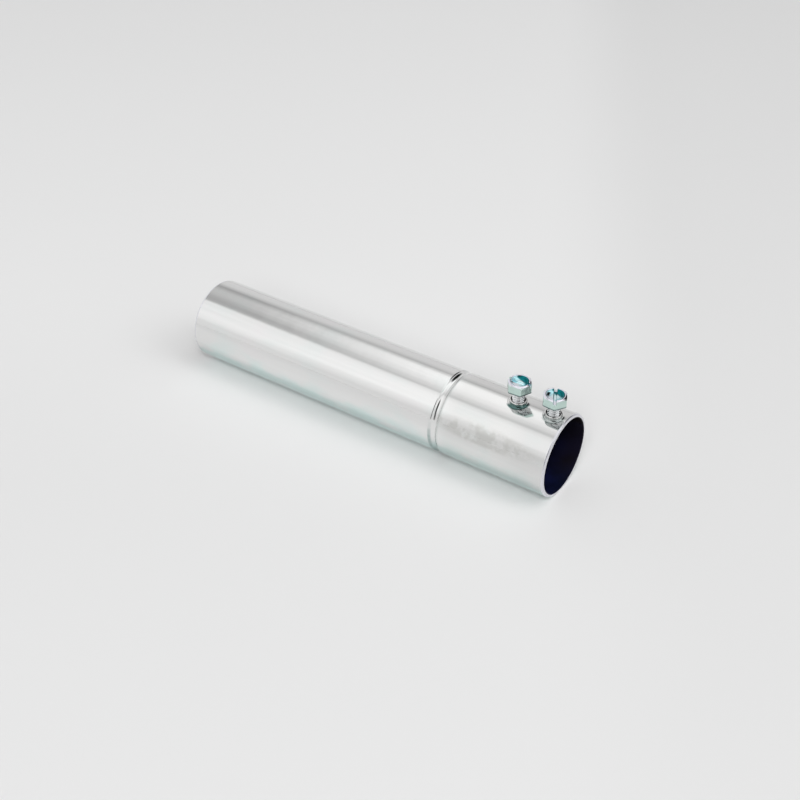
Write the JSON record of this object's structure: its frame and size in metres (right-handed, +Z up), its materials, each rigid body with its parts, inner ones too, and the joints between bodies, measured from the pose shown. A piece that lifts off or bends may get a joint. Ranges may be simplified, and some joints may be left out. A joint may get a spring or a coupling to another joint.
{
  "type": "conduit coupling",
  "caption": "Zinc-plated steel slip coupling that joins thin-wall conduits end to end, with a rolled stop groove and hex-head set screws in line on its socket.",
  "frame": {"origin": "on the surface the coupling lies on, under the middle of the tube", "axes": "+X along the tube towards the socket end with the set screws, +Z up along the set screws"},
  "size_m": [0.214, 0.0428, 0.0551],
  "materials": {
    "bright_zinc": "bright zinc plating on steel, smooth, with faint lengthwise drawing lines",
    "blue_zinc": "blue-tinted zinc plating on steel, smooth"
  },
  "bodies": {
    "tube": {"coupling_tube": "bright_zinc"},
    "inner_screw": {"inner_set_screw": "blue_zinc"},
    "outer_screw": {"outer_set_screw": "blue_zinc"}
  },
  "joints": [
    {"name": "inner_screw_travel", "type": "slide", "parent": "tube", "child": "inner_screw", "axis": [0, 0, -1], "range_m": [-0.00254, 0.00525]},
    {"name": "outer_screw_travel", "type": "slide", "parent": "tube", "child": "outer_screw", "axis": [0, 0, -1], "range_m": [-0.00254, 0.00525]}
  ]
}
